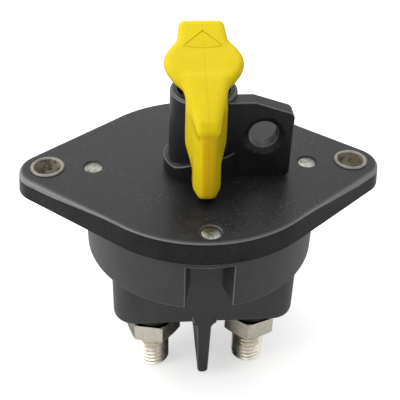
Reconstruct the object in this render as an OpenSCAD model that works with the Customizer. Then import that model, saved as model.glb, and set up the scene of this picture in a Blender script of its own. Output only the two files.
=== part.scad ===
// Battery disconnect switch for panel mounting, with a turning handle and a padlock ear.
// The flange's underside is the plane z = 0 and the handle turns about the Z axis.

/* [Flange] */
// Distance between the centres of the two mounting holes
mount_span = 114.3; // [110:0.1:125]
// Thickness of the flange
flange_t = 9; // [8:0.1:12]
// Reach of the flange past the housing's outer face
flange_rim = 4; // [3.5:0.1:6]
// Radius of the flange round each mounting hole
flange_end_r = 11.1; // [10.5:0.1:13]
// Radius of the rounded upper edge of the flange
flange_edge_r = 2.2; // [1:0.1:2.8]
// Inward lean of the flange's side from bottom to top
flange_draft = 0.5; // [0.2:0.1:0.8]

/* [Column and boss] */
// Height of the column's rim over the flange's top face
column_h = 32.5; // [30:0.1:36]
// Radius of the column at its rim
column_r = 12; // [11.6:0.1:12.5]
// Extra radius of the column at its foot
column_taper = 0.4; // [0.1:0.1:0.6]
// Radius of the bore in the column
column_bore_r = 9.5; // [9:0.1:10]
// Radius of the boss round the column
boss_r = 14.2; // [13.8:0.1:14.6]
// Height of the boss on its low side
boss_low_h = 5; // [4:0.1:6]
// Height of the boss beside the ear
boss_high_h = 10.8; // [9:0.1:11.2]
// Distance from the axis at which the ramp between both heights starts
ramp_start = 11; // [9:0.1:12]
// Slope of the ramp in degrees
ramp_angle = 30; // [25:1:40]

/* [Padlock ear] */
// Distance of the ear's front face from the axis
ear_front = 9; // [8.6:0.1:9.4]
// Thickness of the ear
ear_t = 6.5; // [5:0.1:6.6]
// Reach of the ear from the axis
ear_reach = 31.7; // [31:0.1:34]
// Height of the ear beside the column, over the flange
ear_top_h = 31.2; // [30:0.1:31.8]
// Height of the ear at its outer corner, over the flange
ear_corner_h = 27; // [26:0.1:29]
// Distance from the axis at which the ear's top starts to slope
ear_slope_start = 17.3; // [16:0.1:20]
// Radius of the ear's outer corner
ear_corner_r = 2.6; // [1.5:0.1:3]
// Radius of the padlock hole
lock_hole_r = 5.3; // [4.5:0.1:5.6]
// Distance of the padlock hole from the axis
lock_hole_x = 21.3; // [21:0.1:22]
// Height of the padlock hole over the flange
lock_hole_h = 17.4; // [17:0.1:18]
// Radius of the funnel in front of the padlock hole
lock_funnel_r = 7.7; // [7:0.1:8]
// Depth of that funnel
lock_funnel_d = 1.5; // [1:0.1:2.2]

/* [Sleeves and rivets] */
// Radius of a mounting sleeve
sleeve_r = 6.35; // [6:0.05:6.8]
// Radius of the bolt hole in a sleeve
sleeve_bore_r = 4.95; // [4:0.05:5.2]
// Height of a sleeve over the flange
sleeve_proud = 0.7; // [0.3:0.1:1]
// Distance of the rivets from the housing's outer face
rivet_inset = 3.7; // [3.4:0.1:4]
// Radius of a rivet's shank
rivet_r = 2; // [1.6:0.1:2.4]
// Radius of a rivet's head
rivet_head_r = 3.45; // [3.1:0.05:3.5]
// Radius of the recess round a rivet's head
rivet_recess_r = 3.75; // [3.6:0.05:4]
// Depth of that recess
rivet_recess_d = 1.3; // [0.8:0.1:1.8]

/* [Housing] */
// Radius of the housing's upper part
housing_r = 44; // [43.8:0.1:45]
// Depth of the housing's upper part under the flange
housing_ring_d = 23.4; // [21:0.1:26]
// Half width of the lower block
block_half_x = 34.5; // [34:0.1:35.5]
// Distance of the lower block's front face from the axis
block_half_y = 32.5; // [32.3:0.1:33.2]
// Depth of the lower block under the flange
block_d = 43; // [42.5:0.1:45]
// Radius of the block's upright edges
block_corner_r = 8; // [6:0.1:10]
// Radius of the block's lower edges
block_edge_r = 2.6; // [1:0.1:3]
// Wall thickness of the housing
housing_wall = 3; // [2.5:0.1:3.2]
// Thickness of the housing's floor
floor_t = 6; // [5.5:0.1:6.4]
// Thickness of the housing's wall round the upper part of the cavity
rim_wall = 6.5; // [6.4:0.1:7.5]
// Half width of a notch at the housing's outer face
notch_outer_half = 8.8; // [7:0.1:9.5]
// Half width of a notch at its back
notch_inner_half = 6.1; // [5:0.1:6.5]
// Distance of a notch's back from the axis of its rivet
notch_clear = 7.8; // [7.4:0.1:8.1]
// Thickness of the ledge over a notch
ledge_t = 4.5; // [3.5:0.1:5]

/* [Barrier fin] */
// Thickness of the fin at its root
fin_root_t = 4.2; // [3.6:0.1:5]
// Thickness of the fin at its tip
fin_tip_t = 3.2; // [2.5:0.1:3.5]
// Depth of the fin below the block
fin_h = 27.6; // [24:0.1:29]
// Length of the fin from the block's front face
fin_len = 24; // [20:0.1:26]
// Radius of the fillet at the fin's root
fin_fillet_r = 2.4; // [1.5:0.1:3]

/* [Terminals] */
// Distance of each stud from the mid plane
stud_x = 19.4; // [19:0.1:20]
// Distance of both studs in front of the axis
stud_y = 20; // [19.5:0.1:20.2]
// Radius of a stud
stud_r = 6.35; // [6:0.05:6.5]
// Length of a stud below the housing
stud_len = 30; // [28:0.1:33]
// Mean depth of the thread, at which the stud is drawn inside its nut and above
thread_mean_d = 0.5; // [0.4:0.05:0.7]
// Chamfer at the end of a stud
stud_chamfer = 1.4; // [0.8:0.1:1.8]
// Radius of a stud's head
stud_head_r = 8; // [7.6:0.1:8.2]
// Thickness of a stud's head
stud_head_t = 6; // [5.5:0.1:6.5]
// Width of a nut across its flats
nut_af = 19.05; // [18:0.05:20]
// Thickness of a nut
nut_t = 8.8; // [7:0.1:10]
// Thickness of a flat washer
flat_washer_t = 1.2; // [0.8:0.1:1.6]
// Radius of a flat washer
flat_washer_r = 9.9; // [9.2:0.1:10.5]
// Thickness of a lock washer
lock_washer_t = 2; // [1.6:0.1:2.4]
// Radius of a lock washer
lock_washer_r = 9.3; // [8.8:0.1:9.5]
// Height of a stud's sealing ring
stud_seal_t = 2; // [1.5:0.1:2.5]

/* [Handle] */
// Height over the flange of the cap's top face at the axis
cap_h = 42.5; // [42:0.1:45]
// Rise of the cap's top face for each unit of length towards the arrow end
cap_slope = 0.5; // [0.45:0.01:0.55]
// Gap between the cap's underside and the column's rim
cap_gap = 1.1; // [0.8:0.1:2]
// Half width of the cap across the axis
cap_half_w = 14.2; // [13.4:0.1:15]
// Half width of the arrow end
arrow_half_w = 8.8; // [8:0.1:9.3]
// Reach of the arrow end from the axis
arrow_reach = 17.9; // [17:0.1:19]
// Thickness of the arrow end
arrow_t = 7.6; // [7:0.1:8.2]
// Thickness of the wings
wing_t = 5.5; // [5.2:0.1:5.9]
// Radius of the hub under the cap
cap_hub_r = 7.7; // [7.5:0.1:8.2]
// Half width of the ridge on the nose
nose_half_w = 4.4; // [4:0.1:4.8]
// Reach of the nose from the axis
nose_reach = 23.9; // [23:0.1:24.4]
// Height of the nose's tip over the flange
nose_h = 29.9; // [29:0.1:31]
// Half width of the leg where it is widest
leg_half_w = 7.4; // [7:0.1:7.8]
// Height over the flange down to which the leg keeps its greatest width
leg_waist_h = 19.6; // [18:0.1:21]
// Half width of the leg's lower end
foot_half_w = 5; // [4.6:0.1:5.5]
// Half width of the flat on the leg's front
foot_front_half_w = 2.6; // [2.2:0.1:3]
// Reach of the leg's lower end from the axis
foot_reach = 26.4; // [25.6:0.1:27.4]
// Gap between the leg's lower end and the flange
foot_gap = 1.6; // [1.2:0.1:3]
// Thickness of the lock tab
tab_t = 4.5; // [3.5:0.1:4.6]
// Radius of the lock tab round its hole
tab_r = 9; // [8:0.1:9.3]
// Gap between the handle and the column or the boss
handle_gap = 0.7; // [0.5:0.1:0.9]

/* [Drive] */
// Radius of the drive shaft
shaft_r = 6; // [5.7:0.1:6.2]
// Running gap between the shaft and what it turns in
run_gap = 0.04; // [0.02:0.01:0.08]
// Gap between pressed or seated round pieces
seat_gap = 0.02; // [0.01:0.01:0.04]
// Height of the shaft's lower end over the housing's floor
shaft_end_h = 10; // [9.5:0.1:11]
// Distance of the flats on the shaft from the axis
shaft_flat = 4.6; // [4.2:0.1:5]
// Height of the shaft's seal
seal_h = 4; // [3:0.1:5]
// Height of the bush
bush_h = 20; // [16:0.1:21]
// Floor of the column's bore over the flange's underside
bore_floor = 12; // [11:0.1:13]
// Thickness of the thrust washer
thrust_t = 1.5; // [1:0.1:1.8]
// Radius of the thrust washer
thrust_r = 11; // [10:0.1:12]
// Thickness of the retaining clip
clip_t = 1.2; // [1:0.1:1.4]
// Radius of the retaining clip
clip_r = 8.8; // [8:0.1:9.5]
// Radius of the groove for the clip
clip_groove_r = 4.9; // [4.7:0.1:5.1]
// Gap between the clip and the rotor
rotor_gap = 0.5; // [0.3:0.1:0.8]
// Radius of the rotor's hub
hub_r = 12; // [11:0.1:12.5]
// Angle that the handle turns through
turn_angle = 90; // [90:1:90]
// Radius of the stop finger
stop_r = 20; // [19:0.1:21]
// Height of the stop finger
stop_h = 6.5; // [5:0.1:7]
// Half angle of the stop finger
stop_half_angle = 10; // [8:1:12]
// Gap left at each stop in degrees
stop_gap_angle = 0.5; // [0.3:0.1:1]
// Angle that each stop block takes up
stop_block_angle = 20; // [12:1:30]

/* [Contacts] */
// Length of the contact bar
bar_len = 37; // [35:0.1:37.4]
// Width of the contact bar
bar_w = 7.6; // [7:0.1:7.8]
// Thickness of the contact bar
bar_t = 3; // [2.5:0.1:3.3]
// Distance of the contact bar from the axis
bar_y = 16.6; // [16.4:0.1:16.8]
// Width of the rotor's arm
arm_w = 16; // [14:0.1:18]
// Thickness of each cheek beside the contact bar
cheek_t = 1.8; // [1.5:0.1:2]
// Gap between the contact bar and its cheeks
cheek_gap = 0.2; // [0.1:0.05:0.3]
// Radius of the contact spring
spring_r = 4.4; // [4:0.1:4.6]
// Radius of the spring's wire
spring_wire_r = 0.6; // [0.4:0.05:0.7]
// Length of the contact spring
spring_len = 14; // [12:0.1:15]
// Turns of the contact spring
spring_turns = 6; // [5:1:8]
// Radius of the rotor screw's thread
screw_r = 2.5; // [2:0.1:3]
// Length of the rotor screw below its head
screw_len = 14; // [12:0.1:16]
// Radius of the rotor screw's head
screw_head_r = 4.6; // [4:0.1:5]
// Height of the rotor screw's head
screw_head_h = 2.8; // [2:0.1:3.2]
// Thickness of the rotor washer
rotor_washer_t = 1.2; // [0.8:0.1:1.5]
// Radius of the rotor washer
rotor_washer_r = 8; // [7.2:0.1:9]
// Thickness of the cover's gasket
gasket_t = 0.8; // [0.5:0.1:1.2]

/* [Hidden] */
$fn = 96;

// Steps in an arc of an outline, sides of a rounded corner and a sliver used in hulls
arc_steps = 24;
corner_fn = 20;
sliver = 0.01;
// Overshoot of a cutting shape past the face it cuts
past = 1;

half_span = mount_span / 2;
flange_r = housing_r + flange_rim;
rivet_ring_r = housing_r - rivet_inset;
cavity_r = housing_r - rim_wall;
shaft_d = block_d - floor_t - shaft_end_h;
nut_z = -block_d - flat_washer_t - lock_washer_t - nut_t;
stud_shank_r = stud_r - thread_mean_d;
stud_seal_r = flat_washer_r - 0.6;
column_top = flange_t + column_h;
ear_back = ear_front - ear_t;
lock_z = flange_t + lock_hole_h;
notch_back = rivet_ring_r - notch_clear;
cavity_half_y = block_half_y - housing_wall;
cavity_half_x = block_half_x - housing_wall;
ring_floor_z = housing_wall - housing_ring_d;
floor_z = floor_t - block_d;
contact_z = floor_z + stud_head_t;
bush_z = bore_floor + seal_h;
clip_z = -thrust_t - clip_t;
rotor_top = clip_z - rotor_gap;
bar_top = contact_z + bar_t;
arm_gap = 1;
arm_bottom = bar_top + arm_gap;
arm_top = bar_top + spring_len + 1.6;
shaft_top = flange_t + cap_h - 5.5;
turn_clear_r = column_r + column_taper + handle_gap;
boss_clear_r = boss_r + handle_gap;

// Points on an arc round a centre
function arc(x, y, r, from, to, steps = arc_steps) =
    [for (i = [0:steps]) let (a = from + (to - from) * i / steps) [x + r * cos(a), y + r * sin(a)]];

// Height of the plane of the cap's top face at a distance behind the axis
function cap_plane(y) = flange_t + cap_h + cap_slope * y;

// Flange outline: a round middle joined to both round ends by tangents
function flange_points(inset) =
    let (tangent = acos((flange_r - flange_end_r) / half_span), small = flange_end_r - inset, big = flange_r - inset)
    concat(arc(half_span, 0, small, -tangent, tangent),
           arc(0, 0, big, tangent, 180 - tangent),
           arc(-half_span, 0, small, 180 - tangent, 180 + tangent),
           arc(0, 0, big, 180 + tangent, 360 - tangent));

// Rounded rectangle centred on the axis
function block_points(half_x, half_y, r) =
    concat(arc(half_x - r, half_y - r, r, 0, 90, 8), arc(r - half_x, half_y - r, r, 90, 180, 8),
           arc(r - half_x, r - half_y, r, 180, 270, 8), arc(half_x - r, r - half_y, r, 270, 360, 8));

// Places its children at both ends of a distance along X
module both_sides(x) {
    for (side = [-1, 1]) translate([side * x, 0, 0]) children();
}

// Turns an outline drawn in X and Z upright and gives it a thickness from front to back
module upright(front, back) {
    translate([0, back, 0]) rotate([90, 0, 0]) linear_extrude(back - front) children();
}

// Turns an outline drawn in Y and Z upright and gives it a thickness along X
module sideways(t) {
    translate([-t / 2, 0, 0]) rotate([90, 0, 90]) linear_extrude(t) children();
}

// Ring with a square section
module ring(outer, inner, z, h) {
    translate([0, 0, z]) difference() {
        cylinder(r = outer, h = h);
        translate([0, 0, -past]) cylinder(r = inner, h = h + 2 * past);
    }
}

// Part of a thick ring between two angles
module sector(outer, inner, z, h, from, to) {
    translate([0, 0, z]) linear_extrude(h)
        polygon(concat(arc(0, 0, outer, from, to, 8), arc(0, 0, inner, to, from, 8)));
}

// Flange with a leaning side, a broken lower edge and a rounded upper edge
module flange_blank() {
    lower_edge = 0.8;
    steps = 4;
    hull() {
        linear_extrude(sliver) polygon(flange_points(lower_edge));
        translate([0, 0, lower_edge]) linear_extrude(sliver) polygon(flange_points(0));
        for (i = [0:steps]) {
            turn = 90 * i / steps;
            translate([0, 0, flange_t - sliver - flange_edge_r * (1 - sin(turn))]) linear_extrude(sliver)
                polygon(flange_points(flange_draft + flange_edge_r * (1 - cos(turn))));
        }
    }
}

// Boss whose top rises along a ramp from its low side to its high side
module boss() {
    ramp_end = (boss_high_h - boss_low_h) / tan(ramp_angle) - ramp_start;
    intersection() {
        cylinder(r = boss_r, h = flange_t + boss_high_h);
        upright(-boss_r - past, boss_r + past)
            polygon([[-boss_r - past, 0], [boss_r + past, 0], [boss_r + past, flange_t + boss_high_h],
                     [ramp_end, flange_t + boss_high_h], [-ramp_start, flange_t + boss_low_h],
                     [-boss_r - past, flange_t + boss_low_h]]);
    }
}

// Ear with a sloping top, a rounded outer corner and a hole with a funnel in front
module ear() {
    slope = atan((ear_top_h - ear_corner_h) / (ear_reach - ear_corner_r - ear_slope_start));
    foot_chamfer = 1.3;
    difference() {
        upright(-ear_front, -ear_back)
            polygon(concat([[0, flange_t / 2], [ear_reach - foot_chamfer, flange_t / 2],
                            [ear_reach - foot_chamfer, flange_t], [ear_reach, flange_t + foot_chamfer]],
                           arc(ear_reach - ear_corner_r, flange_t + ear_corner_h - ear_corner_r, ear_corner_r,
                               0, 90 - slope, 6),
                           [[ear_slope_start, flange_t + ear_top_h], [0, flange_t + ear_top_h]]));
        translate([lock_hole_x, 0, lock_z]) rotate([90, 0, 0]) cylinder(r = lock_hole_r, h = ear_front + past);
        translate([lock_hole_x, lock_funnel_d - ear_front, lock_z]) rotate([90, 0, 0])
            cylinder(r1 = lock_hole_r, r2 = lock_funnel_r, h = lock_funnel_d);
    }
}

// Round column with a slight taper and a broken rim
module column() {
    rim = 0.6;
    rotate_extrude()
        polygon([[0, 0], [column_r + column_taper, 0], [column_r + column_taper, flange_t],
                 [column_r, column_top - rim], [column_r - rim, column_top], [0, column_top]]);
}

// Angles of the stop faces, for a finger that rests on the Y axis
stop_reach = stop_half_angle + stop_gap_angle;

module cover() {
    color([0.16, 0.16, 0.17]) difference() {
        union() {
            flange_blank();
            boss();
            ear();
            column();
            sector(stop_r, hub_r + past, rotor_top - stop_h, stop_h - rotor_top + past,
                   90 + stop_reach, 90 + stop_reach + stop_block_angle);
            sector(stop_r, hub_r + past, rotor_top - stop_h, stop_h - rotor_top + past,
                   90 - turn_angle - stop_reach - stop_block_angle, 90 - turn_angle - stop_reach);
        }
        translate([0, 0, bore_floor]) cylinder(r = column_bore_r, h = column_top);
        translate([0, 0, -past]) cylinder(r = shaft_r + 5 * run_gap, h = column_top);
        both_sides(half_span) translate([0, 0, -past]) cylinder(r = sleeve_r + seat_gap, h = flange_t + 2 * past);
        for (a = [0:90:270]) rotate(a) translate([rivet_ring_r, 0, 0]) {
            translate([0, 0, -past]) cylinder(r = rivet_r + seat_gap, h = flange_t + 2 * past);
            translate([0, 0, flange_t - rivet_recess_d]) cylinder(r = rivet_recess_r, h = rivet_recess_d + past);
        }
        ring(housing_r, cavity_r, -past, gasket_t + past);
    }
}

// Sleeve that takes the load of a mounting bolt, with a broken edge at each end
module sleeve() {
    edge = 0.4;
    top = flange_t + sleeve_proud;
    color([0.55, 0.5, 0.44]) rotate_extrude()
        polygon([[sleeve_bore_r, edge], [sleeve_bore_r + edge, 0], [sleeve_r - edge, 0], [sleeve_r, edge],
                 [sleeve_r, top - edge], [sleeve_r - edge, top], [sleeve_bore_r + edge, top],
                 [sleeve_bore_r, top - edge]]);
}

// Rivet with a domed head in the flange and a clinched tail at a given height
module rivet(tail_z) {
    seat = flange_t - rivet_recess_d;
    dome = 0.9;
    tail_h = 1;
    tail_r = rivet_head_r - 0.4;
    dome_r = (rivet_head_r * rivet_head_r + dome * dome) / (2 * dome);
    rim = asin(rivet_head_r / dome_r);
    color([0.75, 0.75, 0.74]) rotate_extrude()
        polygon(concat([[0, tail_z - tail_h], [tail_r * 0.7, tail_z - tail_h], [tail_r, tail_z], [rivet_r, tail_z],
                        [rivet_r, seat], [rivet_head_r, seat]],
                       [for (i = [0:6]) let (a = rim * (1 - i / 6))
                           [dome_r * sin(a), seat + dome - dome_r + dome_r * cos(a)]]));
}

module side_rivets() {
    for (a = [0, 180]) rotate(a) translate([rivet_ring_r, 0, 0]) rivet(-housing_ring_d);
}

module end_rivets() {
    for (a = [90, 270]) rotate(a) translate([rivet_ring_r, 0, 0]) rivet(-ledge_t);
}

module cover_gasket() {
    color([0.1, 0.1, 0.1]) difference() {
        ring(housing_r - 5 * seat_gap, cavity_r + 5 * seat_gap, 0, gasket_t);
        for (a = [0:90:270]) rotate(a) translate([rivet_ring_r, 0, -past])
            cylinder(r = rivet_r + seat_gap, h = gasket_t + 2 * past);
    }
}

// Lower block with rounded lower edges
module block() {
    steps = 4;
    hull() {
        translate([0, 0, ring_floor_z]) linear_extrude(sliver)
            polygon(block_points(block_half_x, block_half_y, block_corner_r));
        for (i = [0:steps]) {
            turn = 90 * i / steps;
            inset = block_edge_r * (1 - cos(turn));
            translate([0, 0, block_edge_r * (1 - sin(turn)) - block_d]) linear_extrude(sliver)
                polygon(block_points(block_half_x - inset, block_half_y - inset, block_corner_r - inset));
        }
    }
}

// Notch in the housing's wall that narrows towards the axis
module notch() {
    far = housing_r + past;
    spread = (notch_outer_half - notch_inner_half) / (housing_r - notch_back);
    outer = notch_outer_half + spread * past;
    translate([0, 0, -housing_ring_d - past]) linear_extrude(housing_ring_d + past - ledge_t)
        polygon([[-outer, -far], [outer, -far], [notch_inner_half, -notch_back], [-notch_inner_half, -notch_back]]);
}

// Tapered fin with a rounded tip and fillets at its root
module fin() {
    root = fin_root_t / 2;
    tip = fin_tip_t / 2;
    sink = block_edge_r;
    r = fin_fillet_r;
    upright(-block_half_y, fin_len - block_half_y)
        polygon(concat([[-root - r, sink - block_d], [-root - r, -block_d]],
                       arc(-root - r, -block_d - r, r, 90, 0, 6),
                       arc(0, tip - block_d - fin_h, tip, 180, 360, 10),
                       arc(root + r, -block_d - r, r, 180, 90, 6),
                       [[root + r, sink - block_d]]));
}

module housing() {
    color([0.2, 0.215, 0.21]) difference() {
        union() {
            translate([0, 0, -housing_ring_d]) cylinder(r = housing_r, h = housing_ring_d);
            block();
            fin();
        }
        notch();
        rotate(180) notch();
        translate([0, 0, ring_floor_z]) intersection() {
            cylinder(r = cavity_r, h = past - ring_floor_z);
            translate([-cavity_r, -cavity_half_y, 0]) cube([2 * cavity_r, 2 * cavity_half_y, past - ring_floor_z]);
        }
        translate([0, 0, floor_z]) linear_extrude(ring_floor_z - floor_z + past)
            polygon(block_points(cavity_half_x, cavity_half_y, block_corner_r - housing_wall));
        for (a = [0:90:270]) rotate(a) translate([rivet_ring_r, 0, -housing_ring_d - past])
            cylinder(r = rivet_r + seat_gap, h = housing_ring_d + 2 * past);
        both_sides(stud_x) translate([0, -stud_y, -block_d - past]) {
            cylinder(r = stud_shank_r + seat_gap, h = floor_t + 2 * past);
            cylinder(r = stud_seal_r, h = past + stud_seal_t);
        }
    }
}

// Threaded stud, full round below its nut and a little slimmer above, with a flat head inside the housing
module stud() {
    end = -block_d - stud_len;
    color([0.72, 0.69, 0.62]) rotate_extrude()
        polygon([[0, end], [stud_r - stud_chamfer, end], [stud_r, end + stud_chamfer], [stud_r, nut_z],
                 [stud_shank_r, nut_z], [stud_shank_r, floor_z],
                 [stud_head_r, floor_z], [stud_head_r, contact_z], [0, contact_z]]);
}

module stud_seals() {
    color([0.08, 0.08, 0.08]) both_sides(stud_x) translate([0, -stud_y, 0])
        ring(stud_seal_r - seat_gap, stud_shank_r + seat_gap, -block_d, stud_seal_t);
}

module flat_washers() {
    color([0.6, 0.58, 0.52]) both_sides(stud_x) translate([0, -stud_y, 0])
        ring(flat_washer_r, stud_r + 0.15, -block_d - flat_washer_t, flat_washer_t);
}

// Split washers, each with a slanting cut
module lock_washers() {
    z = -block_d - flat_washer_t - lock_washer_t;
    slot = 1.6;
    color([0.62, 0.6, 0.55]) both_sides(stud_x) translate([0, -stud_y, 0]) difference() {
        ring(lock_washer_r, stud_r + 0.15, z, lock_washer_t);
        translate([0, lock_washer_r - 1.5, z + lock_washer_t / 2]) rotate([0, 35, 0])
            cube([slot, 5, 3 * lock_washer_t], center = true);
    }
}

// Hexagonal nut with chamfered corners
module nut(turn) {
    across = nut_af / cos(30);
    chamfer_h = (across - nut_af) / 2 * tan(30) + 0.4;
    edge = nut_af / 2 - 0.7;
    difference() {
        intersection() {
            rotate(turn) cylinder(d = across, h = nut_t, $fn = 6);
            rotate_extrude()
                polygon([[0, 0], [edge + 0.8, 0], [across / 2 + sliver, chamfer_h / 2],
                         [across / 2 + sliver, nut_t - chamfer_h], [edge, nut_t], [0, nut_t]]);
        }
        translate([0, 0, -past]) cylinder(r = stud_shank_r + seat_gap, h = nut_t + 2 * past);
    }
}

module terminal_nuts() {
    color([0.74, 0.71, 0.63]) {
        translate([-stud_x, -stud_y, nut_z]) nut(-72);
        translate([stud_x, -stud_y, nut_z]) nut(-100);
    }
}

module shaft_bush() {
    color([0.6, 0.42, 0.22]) ring(column_bore_r - seat_gap, shaft_r + run_gap, bush_z, bush_h);
}

module shaft_seal() {
    color([0.08, 0.08, 0.08]) ring(column_bore_r - seat_gap, shaft_r + run_gap, bore_floor, seal_h);
}

// Four balls at the corners of a rectangle in a level plane
module ball_row(half_w, y, z, r) {
    both_sides(half_w - r) translate([0, y, z - r]) sphere(r = r, $fn = corner_fn);
}

// Arrow end of the cap, under the sloping top plane
module arrow_end() {
    r = 2;
    low = arrow_t - 2 * r;
    sag = 0.1;
    rows = [[arrow_half_w - 0.5, arrow_reach - r, 0], [arrow_half_w, arrow_reach - 5.7, sag],
                [arrow_half_w + 0.5, cap_half_w - 6.6, 3 * sag]];
    hull() for (p = rows) {
        ball_row(p[0], p[1], cap_plane(p[1]) - p[2], r);
        ball_row(p[0] - 2 * sag - p[2], p[1] - p[2], cap_plane(p[1]) - low - 2 * p[2], r);
    }
}

// Rounded wings of the cap, a slab crowned along the middle
module wings() {
    r = 2.4;
    low = wing_t - 2 * r;
    crown = 0.4;
    bend = 0.004;
    widest = 1.4;
    hull() for (p = [[10.4, 0.64], [6.2, 0.885], [3.6, 0.988], [widest, 1], [-1, 0.93], [-3.3, 0.79], [-7, 0.49]]) {
        drop = crown + bend * pow(p[0] - widest, 2);
        ball_row(cap_half_w * p[1], p[0], cap_plane(p[0]) - drop, r);
        ball_row(cap_half_w * p[1] - crown, p[0], cap_plane(p[0]) - drop - low, r);
    }
}

// Ridge that narrows from the cap and leads over the nose
module nose() {
    r = 2.2;
    tip_z = flange_t + nose_h;
    sunk = 4;
    hull() {
        ball_row(2 * nose_half_w, -4, cap_plane(-4) - 0.1, r);
        ball_row(nose_half_w + 0.1, -15, cap_plane(-15), r);
        ball_row(nose_half_w, r - nose_reach + 3.9, tip_z + 3.5, r);
        ball_row(nose_half_w, r - nose_reach + 1.4, tip_z + 2, r);
        ball_row(nose_half_w - 0.1, r - nose_reach, tip_z, r);
        ball_row(nose_half_w - 0.2, r - nose_reach + sunk, tip_z - sunk / 2, r);
        ball_row(nose_half_w + 0.4, -9, tip_z + sunk, r);
    }
}

// Leg that comes down from the cap to just over the flange, widest in its upper half
module leg() {
    r = 1.5;
    edge_r = 1.2;
    front_y = edge_r - foot_reach;
    flank_y = -12.8;
    waist_z = flange_t + leg_waist_h;
    end_z = flange_t + foot_gap + 2 * edge_r;
    hull() {
        ball_row(nose_half_w + 0.6, flank_y + 2.6, cap_plane(flank_y + 2.6) - 0.7, r);
        ball_row(nose_half_w, flank_y - 4, cap_plane(flank_y - 4) - 1.7, r);
        ball_row(foot_front_half_w + 0.2, front_y + 3, waist_z + 8.6, edge_r);
        ball_row(leg_half_w, flank_y + 3.6, cap_plane(flank_y + 3.6) - 1.9, r);
        ball_row(leg_half_w - 0.1, flank_y + 0.2, waist_z + 13.6, r);
        ball_row(leg_half_w, flank_y, waist_z, r);
        ball_row(foot_half_w, flank_y - 4.6, waist_z - 8.1, r);
        ball_row(foot_front_half_w, front_y + 0.9, waist_z - 8.6, edge_r);
    }
    hull() {
        ball_row(foot_front_half_w - 0.1, front_y + 2.2, waist_z + 1.4, edge_r);
        ball_row(foot_half_w, flank_y - 6.6, waist_z - 2.6, r);
        ball_row(foot_half_w - 0.1, flank_y - 3.7, waist_z - 4.6, r);
        ball_row(foot_front_half_w, front_y, end_z + 1, edge_r);
        ball_row(foot_half_w, flank_y - 8.6, end_z + 2.2, r);
        ball_row(foot_half_w, flank_y - 4.2, end_z + 2.4, r);
        ball_row(foot_front_half_w + 0.8, flank_y - 5.2, end_z + 0.2, edge_r);
        ball_row(foot_front_half_w + 0.8, front_y + 1.4, end_z, edge_r);
    }
}

// Tab under the arrow end whose hole meets the padlock hole when the handle is turned
module lock_tab() {
    hole_y = lock_hole_x;
    inner = column_r + column_taper + handle_gap + 0.2;
    low_turn = 140;
    sideways(tab_t) difference() {
        polygon(concat([[inner, cap_plane(inner) - 3], [arrow_reach - 1, cap_plane(arrow_reach) - 4]],
                       arc(hole_y, lock_z, tab_r, 25, -low_turn, 20),
                       [[inner, lock_z - tab_r * sin(low_turn)]]));
        translate([hole_y, lock_z]) circle(r = lock_hole_r);
    }
}

module handle() {
    color([0.95, 0.84, 0.1]) difference() {
        union() {
            arrow_end();
            wings();
            nose();
            leg();
            lock_tab();
            translate([0, 0, column_top + cap_gap - 1]) cylinder(r = cap_hub_r, h = cap_h - column_h - cap_gap - 4);
        }
        translate([0, 0, -past]) cylinder(r = turn_clear_r, h = column_top + cap_gap + past - 0.2);
        translate([0, 0, -past]) cylinder(r = boss_clear_r, h = flange_t + boss_high_h + handle_gap + past);
        translate([0, 0, column_top]) cylinder(r = shaft_r + seat_gap, h = shaft_top - column_top);
    }
}

// Shaft with a clip groove, flats for the rotor and a threaded end
module drive_shaft() {
    flat_top = rotor_top - stop_h;
    color([0.62, 0.6, 0.57]) difference() {
        rotate_extrude()
            polygon([[0, -shaft_d], [shaft_r - 0.5, -shaft_d], [shaft_r, 0.5 - shaft_d], [shaft_r, clip_z],
                     [clip_groove_r, clip_z], [clip_groove_r, clip_z + clip_t], [shaft_r, clip_z + clip_t],
                     [shaft_r, shaft_top - 0.5], [shaft_r - 0.5, shaft_top], [0, shaft_top]]);
        for (side = [0, 180]) rotate(side) translate([shaft_flat, -shaft_r - past, -shaft_d - past])
            cube([shaft_r, 2 * (shaft_r + past), shaft_d + past + flat_top]);
        translate([0, 0, -shaft_d - past]) cylinder(r = screw_r + seat_gap, h = screw_len + past);
    }
}

module thrust_washer() {
    color([0.85, 0.84, 0.8]) ring(thrust_r, shaft_r + run_gap, -thrust_t, thrust_t);
}

// Clip that snaps into the shaft's groove from one side
module retaining_clip() {
    mouth = 1.5 * clip_groove_r;
    color([0.4, 0.4, 0.4]) difference() {
        ring(clip_r, clip_groove_r + seat_gap, clip_z, clip_t);
        translate([0, -mouth / 2, clip_z - past]) cube([clip_r + past, mouth, clip_t + 2 * past]);
    }
}

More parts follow.
